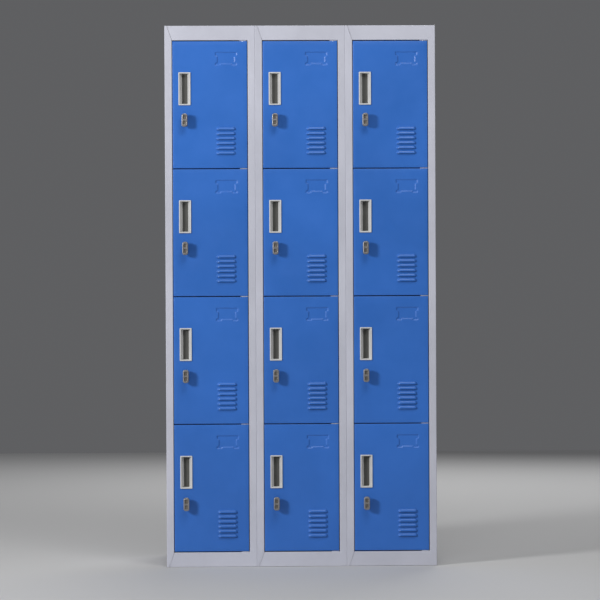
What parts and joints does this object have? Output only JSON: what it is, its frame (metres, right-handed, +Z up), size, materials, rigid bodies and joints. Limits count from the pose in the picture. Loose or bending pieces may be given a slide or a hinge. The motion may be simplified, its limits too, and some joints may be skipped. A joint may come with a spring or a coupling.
{
  "type": "steel locker",
  "caption": "Free-standing block of steel lockers with hinged louvred doors, inset pulls, pressed card holders and padlockable turn latches.",
  "frame": {"origin": "on the floor, under the middle of the carcass footprint (width 900 mm, depth 450 mm)", "axes": "+X to the right seen from the front, +Y from the doors to the back, +Z up"},
  "size_m": [0.9, 0.48, 1.8],
  "materials": {
    "frame_paint": "semi-gloss powder coat, light grey",
    "door_paint": "semi-gloss powder coat, mid blue",
    "pull_plastic": "off-white moulded plastic, satin",
    "cast_zinc": "die-cast zinc, satin nickel plating",
    "plated_steel": "bright zinc-plated steel",
    "black_rubber": "matt black rubber"
  },
  "bodies": {
    "cabinet": {"left_side_panels": "frame_paint", "right_side_panels": "frame_paint", "front_frames": "frame_paint", "top_panels": "frame_paint", "base_panels": "frame_paint", "back_panels": "frame_paint", "shelves": "frame_paint", "hinge_plates": "frame_paint", "hinge_pins": "plated_steel", "door_buffers": "black_rubber", "back_rivets": "plated_steel", "joining_bolts": "plated_steel"},
    "door_leaf_a1": {"door_a1": "door_paint", "pull_a1": "pull_plastic", "lock_body_a1": "cast_zinc"},
    "latch_a1": {"latch_knob_a1": "cast_zinc"},
    "door_leaf_a2": {"door_a2": "door_paint", "pull_a2": "pull_plastic", "lock_body_a2": "cast_zinc"},
    "latch_a2": {"latch_knob_a2": "cast_zinc"},
    "door_leaf_a3": {"door_a3": "door_paint", "pull_a3": "pull_plastic", "lock_body_a3": "cast_zinc"},
    "latch_a3": {"latch_knob_a3": "cast_zinc"},
    "door_leaf_a4": {"door_a4": "door_paint", "pull_a4": "pull_plastic", "lock_body_a4": "cast_zinc"},
    "latch_a4": {"latch_knob_a4": "cast_zinc"},
    "door_leaf_b1": {"door_b1": "door_paint", "pull_b1": "pull_plastic", "lock_body_b1": "cast_zinc"},
    "latch_b1": {"latch_knob_b1": "cast_zinc"},
    "door_leaf_b2": {"door_b2": "door_paint", "pull_b2": "pull_plastic", "lock_body_b2": "cast_zinc"},
    "latch_b2": {"latch_knob_b2": "cast_zinc"},
    "door_leaf_b3": {"door_b3": "door_paint", "pull_b3": "pull_plastic", "lock_body_b3": "cast_zinc"},
    "latch_b3": {"latch_knob_b3": "cast_zinc"},
    "door_leaf_b4": {"door_b4": "door_paint", "pull_b4": "pull_plastic", "lock_body_b4": "cast_zinc"},
    "latch_b4": {"latch_knob_b4": "cast_zinc"},
    "door_leaf_c1": {"door_c1": "door_paint", "pull_c1": "pull_plastic", "lock_body_c1": "cast_zinc"},
    "latch_c1": {"latch_knob_c1": "cast_zinc"},
    "door_leaf_c2": {"door_c2": "door_paint", "pull_c2": "pull_plastic", "lock_body_c2": "cast_zinc"},
    "latch_c2": {"latch_knob_c2": "cast_zinc"},
    "door_leaf_c3": {"door_c3": "door_paint", "pull_c3": "pull_plastic", "lock_body_c3": "cast_zinc"},
    "latch_c3": {"latch_knob_c3": "cast_zinc"},
    "door_leaf_c4": {"door_c4": "door_paint", "pull_c4": "pull_plastic", "lock_body_c4": "cast_zinc"},
    "latch_c4": {"latch_knob_c4": "cast_zinc"}
  },
  "joints": [
    {"name": "door_a1_hinge", "type": "hinge", "parent": "cabinet", "child": "door_leaf_a1", "pos_m": [-0.19, -0.2195, 1.5375], "axis": [0, 0, 1], "range_deg": [0, 110]},
    {"name": "latch_a1_turn", "type": "hinge", "parent": "door_leaf_a1", "child": "latch_a1", "pos_m": [-0.3841, -0.225, 1.4855], "axis": [0, 1, 0], "range_deg": [0, 90]},
    {"name": "door_a2_hinge", "type": "hinge", "parent": "cabinet", "child": "door_leaf_a2", "pos_m": [-0.19, -0.2195, 1.1125], "axis": [0, 0, 1], "range_deg": [0, 110]},
    {"name": "latch_a2_turn", "type": "hinge", "parent": "door_leaf_a2", "child": "latch_a2", "pos_m": [-0.3841, -0.225, 1.0605], "axis": [0, 1, 0], "range_deg": [0, 90]},
    {"name": "door_a3_hinge", "type": "hinge", "parent": "cabinet", "child": "door_leaf_a3", "pos_m": [-0.19, -0.2195, 0.6875], "axis": [0, 0, 1], "range_deg": [0, 110]},
    {"name": "latch_a3_turn", "type": "hinge", "parent": "door_leaf_a3", "child": "latch_a3", "pos_m": [-0.3841, -0.225, 0.6355], "axis": [0, 1, 0], "range_deg": [0, 90]},
    {"name": "door_a4_hinge", "type": "hinge", "parent": "cabinet", "child": "door_leaf_a4", "pos_m": [-0.19, -0.2195, 0.2625], "axis": [0, 0, 1], "range_deg": [0, 110]},
    {"name": "latch_a4_turn", "type": "hinge", "parent": "door_leaf_a4", "child": "latch_a4", "pos_m": [-0.3841, -0.225, 0.2105], "axis": [0, 1, 0], "range_deg": [0, 90]},
    {"name": "door_b1_hinge", "type": "hinge", "parent": "cabinet", "child": "door_leaf_b1", "pos_m": [0.11, -0.2195, 1.5375], "axis": [0, 0, 1], "range_deg": [0, 110]},
    {"name": "latch_b1_turn", "type": "hinge", "parent": "door_leaf_b1", "child": "latch_b1", "pos_m": [-0.0841, -0.225, 1.4855], "axis": [0, 1, 0], "range_deg": [0, 90]},
    {"name": "door_b2_hinge", "type": "hinge", "parent": "cabinet", "child": "door_leaf_b2", "pos_m": [0.11, -0.2195, 1.1125], "axis": [0, 0, 1], "range_deg": [0, 110]},
    {"name": "latch_b2_turn", "type": "hinge", "parent": "door_leaf_b2", "child": "latch_b2", "pos_m": [-0.0841, -0.225, 1.0605], "axis": [0, 1, 0], "range_deg": [0, 90]},
    {"name": "door_b3_hinge", "type": "hinge", "parent": "cabinet", "child": "door_leaf_b3", "pos_m": [0.11, -0.2195, 0.6875], "axis": [0, 0, 1], "range_deg": [0, 110]},
    {"name": "latch_b3_turn", "type": "hinge", "parent": "door_leaf_b3", "child": "latch_b3", "pos_m": [-0.0841, -0.225, 0.6355], "axis": [0, 1, 0], "range_deg": [0, 90]},
    {"name": "door_b4_hinge", "type": "hinge", "parent": "cabinet", "child": "door_leaf_b4", "pos_m": [0.11, -0.2195, 0.2625], "axis": [0, 0, 1], "range_deg": [0, 110]},
    {"name": "latch_b4_turn", "type": "hinge", "parent": "door_leaf_b4", "child": "latch_b4", "pos_m": [-0.0841, -0.225, 0.2105], "axis": [0, 1, 0], "range_deg": [0, 90]},
    {"name": "door_c1_hinge", "type": "hinge", "parent": "cabinet", "child": "door_leaf_c1", "pos_m": [0.41, -0.2195, 1.5375], "axis": [0, 0, 1], "range_deg": [0, 110]},
    {"name": "latch_c1_turn", "type": "hinge", "parent": "door_leaf_c1", "child": "latch_c1", "pos_m": [0.2159, -0.225, 1.4855], "axis": [0, 1, 0], "range_deg": [0, 90]},
    {"name": "door_c2_hinge", "type": "hinge", "parent": "cabinet", "child": "door_leaf_c2", "pos_m": [0.41, -0.2195, 1.1125], "axis": [0, 0, 1], "range_deg": [0, 110]},
    {"name": "latch_c2_turn", "type": "hinge", "parent": "door_leaf_c2", "child": "latch_c2", "pos_m": [0.2159, -0.225, 1.0605], "axis": [0, 1, 0], "range_deg": [0, 90]},
    {"name": "door_c3_hinge", "type": "hinge", "parent": "cabinet", "child": "door_leaf_c3", "pos_m": [0.41, -0.2195, 0.6875], "axis": [0, 0, 1], "range_deg": [0, 110]},
    {"name": "latch_c3_turn", "type": "hinge", "parent": "door_leaf_c3", "child": "latch_c3", "pos_m": [0.2159, -0.225, 0.6355], "axis": [0, 1, 0], "range_deg": [0, 90]},
    {"name": "door_c4_hinge", "type": "hinge", "parent": "cabinet", "child": "door_leaf_c4", "pos_m": [0.41, -0.2195, 0.2625], "axis": [0, 0, 1], "range_deg": [0, 110]},
    {"name": "latch_c4_turn", "type": "hinge", "parent": "door_leaf_c4", "child": "latch_c4", "pos_m": [0.2159, -0.225, 0.2105], "axis": [0, 1, 0], "range_deg": [0, 90]}
  ]
}
